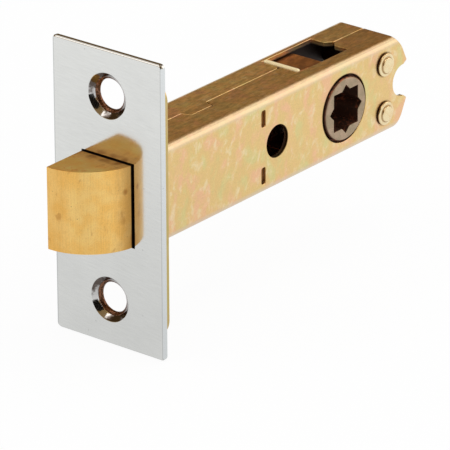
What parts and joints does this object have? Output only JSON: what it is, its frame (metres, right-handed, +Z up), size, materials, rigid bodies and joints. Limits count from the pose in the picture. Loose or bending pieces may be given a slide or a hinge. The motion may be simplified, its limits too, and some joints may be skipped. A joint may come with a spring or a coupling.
{
  "type": "mortice latch",
  "caption": "Tubular mortice latch with a sprung, bevelled bolt drawn back by a spindle hub that takes two sizes of square spindle.",
  "frame": {"origin": "centre of the faceplate's front face, midway between its two screw holes", "axes": "+X along the case into the door, +Z up along the faceplate, and the bolt's flat side faces +Y"},
  "size_m": [0.0897, 0.0254, 0.0572],
  "materials": {
    "chrome_plate": "satin-bright chrome plate",
    "yellow_zinc": "yellow zinc plate with a faint iridescence",
    "pale_zinc": "pale yellow zinc plate",
    "bolt_brass": "drawn brass, unlacquered",
    "spring_steel": "bright drawn steel",
    "cast_hub": "fine-grained cast metal"
  },
  "bodies": {
    "latch_case": {"faceplate": "chrome_plate", "backing_plate": "yellow_zinc", "case_body": "yellow_zinc", "guide_plate": "yellow_zinc", "upper_rear_rivet": "pale_zinc", "lower_rear_rivet": "pale_zinc", "return_spring": "spring_steel"},
    "sliding_bolt": {"latch_bolt": "bolt_brass", "cross_rivet": "spring_steel", "upper_pull_strip": "yellow_zinc", "lower_pull_strip": "yellow_zinc"},
    "spindle_hub": {"hub": "cast_hub"}
  },
  "joints": [
    {"name": "bolt_slide", "type": "slide", "parent": "latch_case", "child": "sliding_bolt", "axis": [1, 0, 0], "range_m": [0, 0.0099], "stiffness_N_per_m": 400, "springref_m": -0.01, "deforming": ["return_spring"]},
    {"name": "hub_turn", "type": "hinge", "parent": "latch_case", "child": "spindle_hub", "pos_m": [0.0603, 0, 0], "axis": [0, 1, 0], "range_deg": [0, 72]}
  ],
  "couplings": [
    {"joint": "hub_turn", "follows": "bolt_slide", "rad_per_m": 126.93}
  ]
}
